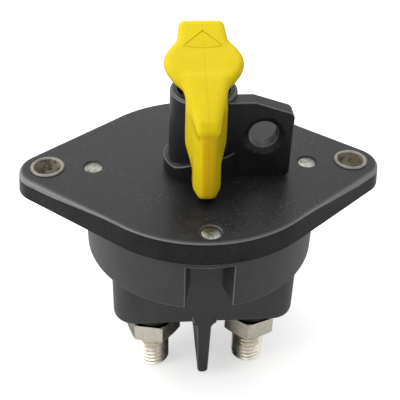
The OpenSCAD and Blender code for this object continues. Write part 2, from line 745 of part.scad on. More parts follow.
// Rotor with a stop finger, and an arm that carries the contact bar between two cheeks
module rotor() {
    cheek_low = contact_z + bar_t / 3;
    arm_front = bar_y + bar_w / 2 + cheek_gap + cheek_t;
    arm_back = bar_y - bar_w / 2 - cheek_gap - cheek_t;
    slot_half = bar_w / 2 + cheek_gap;
    color([0.85, 0.83, 0.76]) difference() {
        union() {
            translate([0, 0, -shaft_d]) cylinder(r = hub_r, h = shaft_d + rotor_top);
            sector(stop_r, hub_r - past, rotor_top - stop_h, stop_h, 90 - stop_half_angle, 90 + stop_half_angle);
            translate([-arm_w / 2, -arm_front, arm_bottom]) cube([arm_w, arm_front, arm_top - arm_bottom]);
            translate([-arm_w / 2, -arm_front, cheek_low]) cube([arm_w, cheek_t, arm_top - cheek_low]);
            translate([-arm_w / 2, -arm_back - cheek_t, cheek_low])
                cube([arm_w, cheek_t, arm_top - cheek_low]);
        }
        intersection() {
            translate([0, 0, -shaft_d - past]) cylinder(r = shaft_r + seat_gap, h = shaft_d + 2 * past);
            translate([-shaft_flat - seat_gap, -shaft_r - past, -shaft_d - past])
                cube([2 * (shaft_flat + seat_gap), 2 * (shaft_r + past), shaft_d + past + rotor_top - stop_h]);
        }
        translate([0, 0, rotor_top - stop_h]) cylinder(r = shaft_r + seat_gap, h = stop_h + past);
        translate([-arm_w, -bar_y - slot_half, cheek_low - past]) cube([2 * arm_w, 2 * slot_half, arm_bottom - cheek_low + past]);
        translate([0, -bar_y, cheek_low]) cylinder(r = spring_r + 0.2, h = bar_top + spring_len - cheek_low);
    }
}

module rotor_washer() {
    color([0.7, 0.7, 0.68]) ring(rotor_washer_r, screw_r + 0.1, -shaft_d - rotor_washer_t, rotor_washer_t);
}

// Screw with a domed head and a cross recess
module rotor_screw() {
    head_z = -shaft_d - rotor_washer_t;
    cross_w = 1.1;
    cross_l = 5;
    cross_d = 1.6;
    color([0.66, 0.66, 0.66]) difference() {
        rotate_extrude()
            polygon(concat([[0, head_z + screw_len - 0.5], [screw_r, head_z + screw_len - 0.5], [screw_r, head_z],
                            [screw_head_r, head_z]],
                           [for (i = [0:6]) let (a = 90 * i / 6)
                               [screw_head_r * cos(a), head_z - 0.6 - (screw_head_h - 0.6) * sin(a)]]));
        for (a = [0, 90]) rotate(a) translate([-cross_l / 2, -cross_w / 2, head_z - screw_head_h - past])
            cube([cross_l, cross_w, cross_d + past]);
    }
}

// Copper bar that bridges both stud heads, with rounded ends
module contact_bar() {
    end_r = 1.5;
    color([0.78, 0.45, 0.28]) translate([0, -bar_y, contact_z]) linear_extrude(bar_t)
        polygon(block_points(bar_len / 2, bar_w / 2, end_r));
}

// Helical spring between the contact bar and the rotor's arm, with flat ends
module contact_spring() {
    wire_fn = 8;
    turn_steps = 14;
    lift = spring_len - 2 * spring_wire_r;
    coil_r = spring_r - spring_wire_r;
    n = spring_turns * turn_steps;
    function ring_points(i) =
        let (a = 360 * i / turn_steps, z = spring_wire_r + lift * i / n)
        [for (k = [0:wire_fn - 1]) let (b = 360 * k / wire_fn, r = coil_r + spring_wire_r * cos(b))
            [r * cos(a), r * sin(a), z + spring_wire_r * sin(b)]];
    points = [for (i = [0:n]) each ring_points(i)];
    sides = [for (i = [0:n - 1], k = [0:wire_fn - 1]) let (next = (k + 1) % wire_fn, base = i * wire_fn)
        [base + k, base + next, base + wire_fn + next, base + wire_fn + k]];
    color([0.7, 0.7, 0.68]) translate([0, -bar_y, bar_top])
        polyhedron(points, concat(sides, [[for (k = [wire_fn - 1:-1:0]) k], [for (k = [0:wire_fn - 1]) n * wire_fn + k]]),
                   convexity = 10);
}

cover();
translate([-half_span, 0, 0]) sleeve();  // sleeve_left
translate([half_span, 0, 0]) sleeve();  // sleeve_right
side_rivets();
end_rivets();
cover_gasket();
housing();
translate([-stud_x, -stud_y, 0]) stud();  // stud_left
translate([stud_x, -stud_y, 0]) stud();  // stud_right
stud_seals();
flat_washers();
lock_washers();
terminal_nuts();
shaft_bush();
shaft_seal();
handle();
drive_shaft();
thrust_washer();
retaining_clip();
rotor();
rotor_washer();
rotor_screw();
contact_bar();
contact_spring();
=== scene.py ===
"""Battery disconnect switch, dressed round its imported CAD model."""

import math

import bpy
from mathutils import Matrix, Vector


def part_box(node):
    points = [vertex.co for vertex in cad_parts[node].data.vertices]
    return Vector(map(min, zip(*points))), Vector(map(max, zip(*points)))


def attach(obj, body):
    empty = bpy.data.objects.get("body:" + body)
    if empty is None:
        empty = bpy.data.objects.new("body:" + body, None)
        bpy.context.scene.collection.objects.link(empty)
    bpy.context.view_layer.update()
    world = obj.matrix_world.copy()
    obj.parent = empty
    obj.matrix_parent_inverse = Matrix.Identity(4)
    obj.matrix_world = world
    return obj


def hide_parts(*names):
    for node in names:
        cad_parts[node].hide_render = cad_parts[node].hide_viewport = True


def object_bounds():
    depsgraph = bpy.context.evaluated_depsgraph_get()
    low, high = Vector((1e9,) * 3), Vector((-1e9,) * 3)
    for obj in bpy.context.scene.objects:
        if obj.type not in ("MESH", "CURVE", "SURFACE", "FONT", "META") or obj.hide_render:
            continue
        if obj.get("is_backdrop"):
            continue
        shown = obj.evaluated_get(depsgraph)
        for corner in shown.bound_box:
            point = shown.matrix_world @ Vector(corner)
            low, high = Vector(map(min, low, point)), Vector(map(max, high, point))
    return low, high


bl_info = {
    "name": "Battery disconnect switch",
    "version": (1, 0, 0),
    "blender": (4, 5, 0),
    "location": "3D View > Sidebar > Switch",
    "description": "Dresses a panel-mounted battery disconnect switch and sets its stage",
    "category": "Object",
}

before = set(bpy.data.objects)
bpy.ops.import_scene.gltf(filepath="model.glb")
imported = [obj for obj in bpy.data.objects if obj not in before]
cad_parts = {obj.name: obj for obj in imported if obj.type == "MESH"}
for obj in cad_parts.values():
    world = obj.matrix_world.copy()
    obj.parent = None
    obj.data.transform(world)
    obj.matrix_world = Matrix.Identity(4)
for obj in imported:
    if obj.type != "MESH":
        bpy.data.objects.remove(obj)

MM = 0.001

# How near to a level a place may be and still count as on it
NEAR = 0.01 * MM

# Levels and places of the CAD solids that the pieces and the finishes follow
HALF_SPAN = 57.15 * MM
FLANGE_TOP = 9 * MM
SHOULDER = 6.85 * MM
LEDGE_BOTTOM = -4.5 * MM
RING_BOTTOM = -23.4 * MM
BLOCK_BOTTOM = -43 * MM
BLOCK_CORNER = Vector((32.2 * MM, 30.2 * MM))
NUT_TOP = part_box("terminal_nuts")[1].z
RIVET_SEAT = 7.7 * MM
CAD_RIVET_HEAD = 3.45 * MM
RIVET_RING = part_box("side_rivets")[1].x - CAD_RIVET_HEAD

# How far the surroundings of the cover's middle, a rivet's axis and the fin's middle plane reach
MIDDLE_REACH = 30 * MM
RIVET_REACH = 4.5 * MM
FIN_REACH = 3 * MM

# Distances from the middle, to the front and the back, over which the flange's shoulder rises
RISE_START, RISE_END = 15 * MM, 30 * MM

# Terminal studs, whose thread ends inside the flat washers
STUD_BOXES = {side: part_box(f"stud_{side}") for side in ("left", "right")}
STUD_X = (STUD_BOXES["right"][0].x + STUD_BOXES["right"][1].x) / 2
STUD_RADIUS = 6.35 * MM
STUD_SHANK = 6.2 * MM
STUD_HEAD = 8 * MM
STUD_HEAD_BOTTOM = -37 * MM
THREAD_TOP = -43.6 * MM


# Sizes and colours that a user may change

def length(name, description, default):
    return bpy.props.FloatProperty(name=name, description=description, default=default, min=0.0,
                                   unit="LENGTH", precision=5)


def angle(name, description, degrees):
    return bpy.props.FloatProperty(name=name, description=description, default=math.radians(degrees),
                                   subtype="ANGLE")


def power(name, description, default):
    return bpy.props.FloatProperty(name=name, description=description, default=default, min=0.0,
                                   unit="POWER")


def count(name, description, default, least, most):
    return bpy.props.IntProperty(name=name, description=description, default=default, min=least, max=most)


def colour(name, description, default):
    return bpy.props.FloatVectorProperty(name=name, description=description, default=default, size=3,
                                         min=0.0, max=1.0, subtype="COLOR")


class SwitchSizes(bpy.types.PropertyGroup):
    """Sizes of the detail that the CAD model leaves out"""

    thread_pitch: length("Thread pitch", "Rise of the studs' thread in one turn", 1.954 * MM)
    thread_depth: length("Thread depth", "Depth of the studs' thread", 1.05 * MM)
    thread_steps: count("Thread steps", "Steps in one turn of the thread", 48, 12, 96)
    moulded_edge: length("Moulded edge", "Width of the broken edges on the cover and the housing", 0.35 * MM)
    skin_cell: length("Skin cell", "Cell size with which the handle's surface is rebuilt", 0.36 * MM)
    skin_rounds: count("Skin rounds", "Rounds of smoothing on the handle", 8, 0, 40)
    handle_fillet: length("Handle fillet", "Radius of the fillets in the handle's inner corners", 1.8 * MM)
    shoulder_rise: length("Shoulder rise", "Rise of the flange's side along front and back", 1.3 * MM)
    shoulder_draft: length("Shoulder draft", "Lean of the flange's side along front and back", 1.3 * MM)
    fin_swell: bpy.props.FloatProperty(name="Fin swell", description="Factor by which the fin is thickened",
                                       default=1.28, min=1.0, max=1.5)
    rivet_head: length("Rivet head", "Radius of a rivet's domed head", 3.55 * MM)
    rivet_rise: length("Rivet rise", "Height of a rivet's head over its seat", 1.2 * MM)
    rivet_dome: length("Rivet dome", "Height of the domed part of a rivet's head", 0.6 * MM)
    mark_width: length("Mark width", "Width of the groove round the arrow mark", 0.42 * MM)
    mark_depth: length("Mark depth", "Depth of the groove round the arrow mark", 0.28 * MM)


class SwitchColours(bpy.types.PropertyGroup):
    """Colours of the finishes"""

    cover: colour("Cover", "Black moulding of the flange, column and ear", (0.0075, 0.0075, 0.0085))
    housing: colour("Housing", "Dark grey moulding below the flange", (0.0195, 0.0205, 0.0205))
    handle: colour("Handle", "Yellow moulding of the handle", (0.95, 0.76, 0.010))
    handle_deep: colour("Handle, deep", "Deeper of the handle's two cloudy tones", (0.90, 0.66, 0.008))
    # Painted shade of the leg's front and of the handle's outline; a darker tone of it colours the real
    # parting line
    handle_shade_and_seam: colour("Handle, front", "Ochre of the leg's front, seam and outline", (0.95, 0.60, 0.004))
    terminals: colour("Terminals", "Plating of the studs and nuts", (0.84, 0.79, 0.68))
    # Near black for dark plating and also as painted shade, since the washers lie in shade under the block
    washers: colour("Washers", "Dulled plating of the washers", (0.04, 0.037, 0.033))
    rivets: colour("Rivets", "Metal of the rivets", (0.24, 0.25, 0.22))
    sleeves: colour("Sleeves", "Metal of the sleeves", (0.21, 0.205, 0.185))
    # Crust and stains; a darker tone of it is painted shade in the studs' thread grooves
    stain: colour("Stain", "Crust in the sleeves and, darker, shadow in the threads", (0.42, 0.37, 0.29))
    # Rubbed edges, and also the painted sheen on the cover flange's rounded edge
    worn_edge_and_sheen: colour("Worn edge", "Edges of the black mouldings, rubbed lighter", (0.30, 0.30, 0.30))
    dust: colour("Dust", "Dust and fine scuffs on the black moulding", (0.20, 0.20, 0.19))
    rubber: colour("Rubber", "Gasket and seals", (0.018, 0.018, 0.018))
    bronze: colour("Bronze", "Bush in the column", (0.55, 0.32, 0.15))
    copper: colour("Copper", "Contact bar", (0.72, 0.36, 0.22))
    inner: colour("Inner parts", "Plain mouldings inside the housing", (0.62, 0.58, 0.48))
    steel: colour("Steel", "Shaft, screw, spring and clip", (0.48, 0.48, 0.48))


class StageSettings(bpy.types.PropertyGroup):
    """Floor, lamps and camera"""

    floor: colour("Floor", "Colour of the floor", (0.86, 0.86, 0.86))
    world_level: bpy.props.FloatProperty(name="World level", description="Strength of the even light",
                                         default=0.25, min=0.0)
    key_power: power("Key power", "Power of the lamp overhead", 16.0)
    side_power: power("Side power", "Power of the lamp on the left", 3.0)
    focal: bpy.props.FloatProperty(name="Focal length", description="Focal length over the picture's width",
                                   default=2.0125, min=0.1)
    distance: length("Distance", "Distance of the camera from the point it looks at", 313 * MM)
    azimuth: angle("Azimuth", "Angle of the camera round the switch", -5.85)
    elevation: angle("Elevation", "Angle of the camera over the level", 37.1)
    roll: angle("Roll", "Turn of the camera about its own axis", 1.95)
    target: bpy.props.FloatVectorProperty(name="Target", description="Point that the camera looks at",
                                          default=(-0.02 * MM, 0.0, -8.1 * MM), subtype="XYZ", unit="LENGTH",
                                          precision=5)


# Shader nodes

def feed(tree, socket, value):
    """Links an input to another node's socket, or sets it to a plain value."""
    if isinstance(value, bpy.types.NodeSocket):
        tree.links.new(value, socket)
    else:
        socket.default_value = value


def put(tree, kind, x, y, **values):
    """Adds a node at a place in the tree, sets its options and feeds its inputs."""
    made = tree.nodes.new(kind)
    made.location = (x, y)
    for name, value in values.items():
        if hasattr(made, name):
            setattr(made, name, value)
        else:
            feed(tree, made.inputs[name.replace("_", " ")], value)
    return made


def maths(tree, x, y, operation, *values, kind="ShaderNodeMath", result="Value"):
    """The result of an operation on numbers or vectors."""
    made = put(tree, kind, x, y, operation=operation)
    for socket, value in zip(made.inputs, values):
        feed(tree, socket, value)
    return made.outputs[result]


def ramp(tree, x, y, value, low, high, to_low=0.0, to_high=1.0, clamp=True):
    """A value taken from one range to another."""
    return put(tree, "ShaderNodeMapRange", x, y, clamp=clamp, Value=value, From_Min=low, From_Max=high,
               To_Min=to_low, To_Max=to_high).outputs["Result"]


def noise(tree, x, y, place, scale, detail, roughness):
    """A cloudy pattern."""
    return put(tree, "ShaderNodeTexNoise", x, y, Vector=place, Scale=scale, Detail=detail,
               Roughness=roughness).outputs["Fac"]


def blend(tree, x, y, share, low, high):
    """A colour between two others, each of them plain or a socket."""
    made = put(tree, "ShaderNodeMix", x, y, data_type="RGBA", Factor=share)
    for name, value in (("A", low), ("B", high)):
        feed(tree, made.inputs[name], value if isinstance(value, bpy.types.NodeSocket) else (*value, 1.0))
    return made.outputs["Result"]


def object_place(tree, x, y):
    """The place on the object."""
    return put(tree, "ShaderNodeTexCoord", x, y).outputs["Object"]


def axes_of(tree, x, y, vector):
    """The three parts of a vector."""
    return put(tree, "ShaderNodeSeparateXYZ", x, y, Vector=vector).outputs


def face_lean(tree, x, y):
    """The upward part of the surface's normal."""
    return axes_of(tree, x + 200, y, put(tree, "ShaderNodeNewGeometry", x, y).outputs["Normal"])["Z"]


def reach_from_pair(tree, x, y, half_span):
    """Distance from the nearer of two upright axes on the left and the right."""
    axes = axes_of(tree, x + 200, y, object_place(tree, x, y))
    side = maths(tree, x + 400, y + 100, "ABSOLUTE", axes["X"])
    across = maths(tree, x + 600, y + 100, "SUBTRACT", side, half_span)
    level = put(tree, "ShaderNodeCombineXYZ", x + 800, y, X=across, Y=axes["Y"])
    return maths(tree, x + 1000, y, "LENGTH", level.outputs["Vector"], kind="ShaderNodeVectorMath")


def turned_away_shade(tree, x, y, low, high, most):
    """A share of painted shade that grows where the surface turns away from the view."""
    facing = put(tree, "ShaderNodeLayerWeight", x, y, Blend=0.5).outputs["Facing"]
    return ramp(tree, x + 200, y, facing, low, high, 0.0, most)


# Effects of the finishes, each a node group

def new_group(name, inputs, outputs):
    """Starts a shader node group whose sockets are numbers, the inputs with their defaults."""
    tree = bpy.data.node_groups.new(name, "ShaderNodeTree")
    for label, value in inputs.items():
        socket = tree.interface.new_socket(name=label, in_out="INPUT", socket_type="NodeSocketFloat")
        socket.default_value = value
    for label in outputs:
        tree.interface.new_socket(name=label, in_out="OUTPUT", socket_type="NodeSocketFloat")
    given, out = put(tree, "NodeGroupInput", -900, 0), put(tree, "NodeGroupOutput", 700, 0)
    return tree, given.outputs, out.inputs


def moulded_grain_group(name):
    """Fine pits of a moulded surface and its slow change of tone."""
    tree, given, out = new_group(name, {"Grain": 3200.0, "Cloud": 60.0, "Fleck": 1500.0},
                                 ("Height", "Tone"))
    place = object_place(tree, -700, 200)
    fine = noise(tree, -450, 250, place, given["Grain"], detail=3.0, roughness=0.6)
    slow = noise(tree, -450, -50, place, given["Cloud"], detail=4.0, roughness=0.55)
    fleck = noise(tree, -450, -350, place, given["Fleck"], detail=2.0, roughness=0.5)
    summed = maths(tree, -250, -150, "ADD", slow, fleck)
    feed(tree, out["Height"], fine)
    feed(tree, out["Tone"], ramp(tree, -50, -50, summed, low=0.78, high=1.24))
    return tree


def dust_group(name):
    """Fine specks of dust that lie in drifts on faces that look up."""
    tree, given, out = new_group(name, {"Cells": 2300.0, "Share": 0.3, "Speck": 0.36}, ("Mask",))
    place = object_place(tree, -900, 300)
    drift = noise(tree, -900, 0, place, scale=75.0, detail=3.0, roughness=0.6)
    thick = ramp(tree, -650, -50, drift, low=0.42, high=0.72)
    share = maths(tree, -450, -60, "MULTIPLY", thick, given["Share"])
    cells = put(tree, "ShaderNodeTexVoronoi", -650, 250, Vector=place, Scale=given["Cells"]).outputs
    pick = put(tree, "ShaderNodeSeparateColor", -400, 100, Color=cells["Color"]).outputs
    chosen = maths(tree, -200, 100, "LESS_THAN", pick["Red"], share)
    size = maths(tree, -200, -60, "MULTIPLY", pick["Green"], given["Speck"])
    near = maths(tree, -400, 300, "LESS_THAN", cells["Distance"], size)
    both = maths(tree, 0, 250, "MULTIPLY", near, chosen)
    up = ramp(tree, 0, -200, face_lean(tree, -400, -250), low=0.3, high=0.9)
    feed(tree, out["Mask"], maths(tree, 300, 100, "MULTIPLY", both, up))
    return tree


def worn_metal_group(name):
    """Dents, stains and uneven polish of handled metal."""
    tree, given, out = new_group(name, {"Scale": 900.0, "Stretch": 1.0, "Blots": 420.0, "Clean": 0.52},
                                 ("Height", "Stain", "Polish"))
    place = object_place(tree, -900, 200)
    stretch = put(tree, "ShaderNodeCombineXYZ", -900, -50, X=1.0, Y=1.0, Z=given["Stretch"])
    scaled = maths(tree, -700, 150, "MULTIPLY", place, stretch.outputs["Vector"],
                   kind="ShaderNodeVectorMath", result="Vector")
    dents = noise(tree, -450, 300, scaled, given["Scale"], detail=2.0, roughness=0.5)
    blots = noise(tree, -450, 50, place, given["Blots"], detail=5.0, roughness=0.65)
    wipe = noise(tree, -450, -250, place, scale=150.0, detail=3.0, roughness=0.6)
    feed(tree, out["Height"], dents)
    feed(tree, out["Stain"], ramp(tree, -150, 50, blots, low=given["Clean"], high=0.75))
    feed(tree, out["Polish"], ramp(tree, -150, -250, wipe, low=0.3, high=0.7))
    return tree


def add_group(tree, x, y, name, make, **values):
    """The sockets of the node group of that name, which is made when it is first needed."""
    group = bpy.data.node_groups.get(name) or make(name)
    return put(tree, "ShaderNodeGroup", x, y, node_tree=group, **values).outputs


# Finishes

def new_material(name):
    """A material with its Principled shader joined to the output."""
    made = bpy.data.materials.new(name)
    made.use_nodes = True
    tree = made.node_tree
    tree.nodes.clear()
    shader = put(tree, "ShaderNodeBsdfPrincipled", 400, 0)
    put(tree, "ShaderNodeOutputMaterial", 700, 0, Surface=shader.outputs["BSDF"])
    return made, tree, shader


def reopened(made):
    """A finished material's tree and its Principled shader."""
    tree = made.node_tree
    return tree, next(node for node in tree.nodes if node.type == "BSDF_PRINCIPLED")


def lay_over(tree, shader, x, y, share, tone):
    """Lays a colour over what the shader's Base Color gets, by a share that changes over the surface."""
    base = shader.inputs["Base Color"]
    feed(tree, base, blend(tree, x, y, share, base.links[0].from_socket, tone))


def roughen(tree, shader, gloss, height, strength, depth):
    """Joins a shader's roughness and its bump, whose depth is in millimetres."""
    bump = put(tree, "ShaderNodeBump", 100, -300, Strength=strength, Distance=depth * MM, Height=height)
    feed(tree, shader.inputs["Roughness"], gloss)
    feed(tree, shader.inputs["Normal"], bump.outputs["Normal"])


def shade(tone, factor):
    """A darker or lighter tone of a colour."""
    return tuple(min(1.0, part * factor) for part in tone)


def moulded_plastic(name, base, light, rough, grain=3200.0, depth=0.03, shine=0.5, worn=None, dust=None):
    """A moulded plastic with fine grain and, where their colours are given, worn edges and dust."""
    made, tree, shader = new_material(name)
    shader.inputs["Specular IOR Level"].default_value = shine
    surface = add_group(tree, -900, 0, "Moulded grain", moulded_grain_group, Grain=grain)
    gloss = ramp(tree, -600, -100, surface["Tone"], 0.0, 1.0, rough - 0.06, rough + 0.08)
    roughen(tree, shader, gloss, surface["Height"], strength=0.4, depth=depth)
    feed(tree, shader.inputs["Base Color"], blend(tree, -600, 200, surface["Tone"], base, light))
    if worn:
        edge = put(tree, "ShaderNodeAttribute", -600, 600, attribute_name="broken_edge").outputs["Fac"]
        patchy = maths(tree, -400, 600, "MULTIPLY", edge, surface["Height"])
        lay_over(tree, shader, -200, 300, patchy, worn)
    if dust:
        specks = add_group(tree, -200, 550, "Dust specks", dust_group)
        lay_over(tree, shader, 100, 250, specks["Mask"], dust)
    return made


def cover_plastic(name, colours, sizes):
    """Black moulding whose flange has a painted sheen on its rounded edge and a patchy rubbed line along its
    border.
    """
    made = moulded_plastic(name, colours.cover, shade(colours.cover, 3.0), rough=0.38, depth=0.08,
                           shine=0.2, worn=colours.worn_edge_and_sheen, dust=colours.dust)
    tree, shader = reopened(made)
    border_half_width = 0.24 * MM
    round_low, round_full, round_high = 6.9 * MM, 8.2 * MM, 8.97 * MM
    least_lean, sheen_share = 0.04, 0.95
    place = object_place(tree, -900, 1100)
    axes = axes_of(tree, -700, 1100, place)
    away = maths(tree, -1300, 1300, "ABSOLUTE", axes["Y"])
    start = ramp(tree, -1100, 1300, away, RISE_START, RISE_END, SHOULDER, SHOULDER + sizes.shoulder_rise)
    # The height that a place on the flange's side had before its shoulder was drawn up
    level = ramp(tree, -900, 1300, axes["Z"], start, FLANGE_TOP, SHOULDER, FLANGE_TOP, clamp=False)
    border = maths(tree, -500, 1200, "COMPARE", level, SHOULDER, border_half_width)
    patches = noise(tree, -600, 1000, place, scale=260.0, detail=3.0, roughness=0.6)
    uneven = ramp(tree, -400, 950, patches, low=0.3, high=0.6, to_low=0.25)
    rubbed = maths(tree, -300, 1100, "MULTIPLY", border, uneven)
    # Painted sheen on the flange's rounded edge, on faces that lean up
    sheen_band = ramp(tree, -500, 1400, level, round_high, round_full)
    above = maths(tree, -300, 1350, "GREATER_THAN", level, round_low)
    leaning = maths(tree, -500, 1600, "GREATER_THAN", face_lean(tree, -900, 1500), least_lean)
    curved = maths(tree, -200, 1500, "MULTIPLY", above, leaning)
    rounded = maths(tree, -100, 1350, "MULTIPLY", sheen_band, curved)
    soft = maths(tree, 0, 1250, "MULTIPLY", rounded, sheen_share)
    # Lighter by the larger of the painted sheen and the rubbed line
    most = maths(tree, 100, 1150, "MAXIMUM", soft, rubbed)
    lay_over(tree, shader, 250, 700, most, colours.worn_edge_and_sheen)
    return made


def handle_plastic(name, colours):
    """Yellow moulding with a faint parting line down its middle, painted shade down the leg's front and
    painted shade where it turns away from the view.
    """
    made = moulded_plastic(name, colours.handle_deep, colours.handle, rough=0.4, grain=1500.0, shine=0.12)
    tree, shader = reopened(made)
    leg_front = -18 * MM
    strip_full, strip_end = 1.7 * MM, 2.7 * MM
    strip_top_full, strip_top_end = 35.6 * MM, 37.4 * MM
    line_full, line_end = 0.05 * MM, 0.22 * MM
    axes = axes_of(tree, -700, 700, object_place(tree, -900, 700))
    side = maths(tree, -500, 750, "ABSOLUTE", axes["X"])
    front = maths(tree, -500, 550, "LESS_THAN", axes["Y"], leg_front)
    # Painted shade down the front of the leg, a narrow band below the nose
    narrow = ramp(tree, -300, 1000, side, strip_end, strip_full)
    below = ramp(tree, -300, 1250, axes["Z"], strip_top_end, strip_top_full)
    down = maths(tree, -100, 1100, "MULTIPLY", narrow, below)
    front_shade = maths(tree, 0, 1000, "MULTIPLY", down, front)
    line = ramp(tree, -300, 750, side, line_full, line_end, to_low=0.35, to_high=0.0)
    # Painted shade where the surface turns away from the view
    outline_shade = turned_away_shade(tree, -300, 1500, low=0.45, high=0.95, most=0.75)
    lay_over(tree, shader, 100, 800, front_shade, colours.handle_shade_and_seam)
    lay_over(tree, shader, 100, 500, line, shade(colours.handle_shade_and_seam, 0.7))
    lay_over(tree, shader, 250, 700, outline_shade, shade(colours.handle_shade_and_seam, 0.6))
    return made


def handled_metal(name, base, stain, rough, scale=900.0, stretch=1.0, depth=0.02, blots=420.0, clean=0.52,
                  rim=0.0):
    """A metal with dents, stains and uneven polish, and painted shade by a share where it turns away from
    the view.
    """
    made, tree, shader = new_material(name)
    shader.inputs["Metallic"].default_value = 1.0
    surface = add_group(tree, -700, 0, "Worn metal", worn_metal_group, Scale=scale, Stretch=stretch,
                        Blots=blots, Clean=clean)
    gloss = ramp(tree, -300, -100, surface["Polish"], 0.0, 1.0, rough - 0.07, rough + 0.12)
    roughen(tree, shader, gloss, surface["Height"], strength=0.3, depth=depth)
    feed(tree, shader.inputs["Base Color"], blend(tree, -300, 200, surface["Stain"], base, stain))
    # Painted shade where the surface turns away from the view
    if rim:
        away = turned_away_shade(tree, -300, 450, low=0.35, high=0.85, most=rim)
        lay_over(tree, shader, 100, 300, away, shade(base, 0.04))
    return made


def stud_plating(name, colours):
    """Plated thread with painted shade in its grooves."""
    made = handled_metal(name, colours.terminals, shade(colours.terminals, 0.5), rough=0.24, rim=0.9)
    tree, shader = reopened(made)
    groove_full, groove_end = 5.4 * MM, 6.0 * MM
    # Painted shade in the thread grooves, darkest at their roots
    reach = reach_from_pair(tree, -1300, 700, STUD_X)
    groove = ramp(tree, -100, 700, reach, groove_end, groove_full, to_high=0.85)
    lay_over(tree, shader, 250, 500, groove, shade(colours.stain, 0.3))
    return made


def nut_plating(name, colours):
    """Plating of the nuts, with painted shade on their upper faces, which lie under the black block."""
    made = handled_metal(name, colours.terminals, shade(colours.terminals, 0.7), rough=0.3, rim=0.8)
    tree, shader = reopened(made)
    shaded_depth = 0.8 * MM
    axes = axes_of(tree, -500, 700, object_place(tree, -700, 700))
    # Painted shade, in the cover's black, on the nuts' upper faces under the block
    top = maths(tree, -300, 700, "GREATER_THAN", axes["Z"], NUT_TOP - shaded_depth)
    lay_over(tree, shader, 250, 500, top, colours.cover)
    return made


def sleeve_metal(name, colours):
    """Turned steel whose bore has a pale brown crust with dark gaps."""
    made = handled_metal(name, colours.sleeves, shade(colours.stain, 0.3), rough=0.5, scale=700.0)
    tree, shader = reopened(made)
    bore_full, bore_end = 5.0 * MM, 5.5 * MM
    reach = reach_from_pair(tree, -1100, 700, HALF_SPAN)
    inside = ramp(tree, 100, 700, reach, bore_full, bore_end, to_low=0.9, to_high=0.0)
    place = object_place(tree, -500, 1000)
    crust = noise(tree, -300, 1000, place, scale=330.0, detail=5.0, roughness=0.7)
    gaps = ramp(tree, -100, 1000, crust, low=0.38, high=0.52)
    soil = blend(tree, 100, 900, gaps, shade(colours.stain, 0.12), colours.stain)
    lay_over(tree, shader, 200, 400, inside, soil)
    metal = ramp(tree, 200, 1000, inside, low=0.0, high=1.0, to_low=1.0, to_high=0.1)
    feed(tree, shader.inputs["Metallic"], metal)
    return made


def finish(name, make, *values, **options):
    """The material of that name, made when it is first needed."""
    return bpy.data.materials.get(name) or make(name, *values, **options)


def dress(obj, material):
    """Gives all of an object's faces one material."""
    obj.data.materials.clear()
    obj.data.materials.append(material)


# Modelling steps

def choose_none():
    """Leaves edit mode with no object chosen."""
    if bpy.context.object and bpy.context.object.mode != "OBJECT":
        bpy.ops.object.mode_set(mode="OBJECT")
    bpy.ops.object.select_all(action="DESELECT")


def choose(*objs):
    """Makes these the only chosen objects, the first one active."""
    choose_none()
    for obj in objs:
        obj.select_set(True)
    bpy.context.view_layer.objects.active = objs[0]


def settle(obj):
    """Leaves the object at the origin with its place in its mesh."""
    choose(obj)
    bpy.ops.object.transform_apply(location=True, rotation=True, scale=True)


def edit_whole(kind="VERT"):
    """Opens the active object in edit mode with all of it chosen."""
    bpy.ops.object.mode_set(mode="EDIT")
    bpy.ops.mesh.select_mode(type=kind)
    bpy.ops.mesh.select_all(action="SELECT")


def edit_where(obj, test):
    """Opens the active object in edit mode with the vertices chosen whose place passes a test."""
    edit_whole()
    bpy.ops.mesh.select_all(action="DESELECT")
    bpy.ops.object.mode_set(mode="OBJECT")
    for vertex in obj.data.vertices:
        vertex.select = test(vertex.co)
    bpy.ops.object.mode_set(mode="EDIT")


def point_outwards():
    """Turns all faces of the mesh in edit mode outwards."""
    bpy.ops.mesh.select_all(action="SELECT")
    bpy.ops.mesh.normals_make_consistent(inside=False)


def apply_modifier(obj, kind, **options):
    """Adds a modifier with these options and applies it."""
    made = obj.modifiers.new(kind.title(), kind)
    for name, value in options.items():
        setattr(made, name, value)
    choose(obj)
    bpy.ops.object.modifier_apply(modifier=made.name)


def combine(obj, other, operation):
    """Cuts an object with another one, which is then removed."""
    apply_modifier(obj, "BOOLEAN", operation=operation, solver="EXACT", object=other)
    bpy.data.objects.remove(other)


def smooth(obj, degrees=32.0):
    """Smooth shading with edges sharper than an angle kept sharp."""
    choose(obj)
    bpy.ops.object.shade_smooth_by_angle(angle=math.radians(degrees))


def smooth_flat_faces(obj):
    """Smooth shading that keeps large flat faces flat beside their broken edges."""
    smooth(obj)
    apply_modifier(obj, "WEIGHTED_NORMAL", keep_sharp=True, weight=100)


def node_copy(node, name):
    """A merged copy of a CAD node's mesh under a name of its own."""
    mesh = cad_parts[node].data.copy()
    mesh.name = name
    piece = bpy.data.objects.new(name, mesh)
    bpy.context.scene.collection.objects.link(piece)
    choose(piece)
    edit_whole()
    bpy.ops.mesh.remove_doubles(threshold=0.002 * MM)
    bpy.ops.object.mode_set(mode="OBJECT")
    if mesh.has_custom_normals:
        bpy.ops.mesh.customdata_custom_splitnormals_clear()
    return piece


def place_piece(piece, body, node, material):
    """Settles a finished piece, ties it to its body, dresses it and its CAD node in its material and hides
    the node.
    """
    settle(piece)
    dress(piece, material)
    dress(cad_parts[node], material)
    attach(piece, body)
    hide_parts(node)


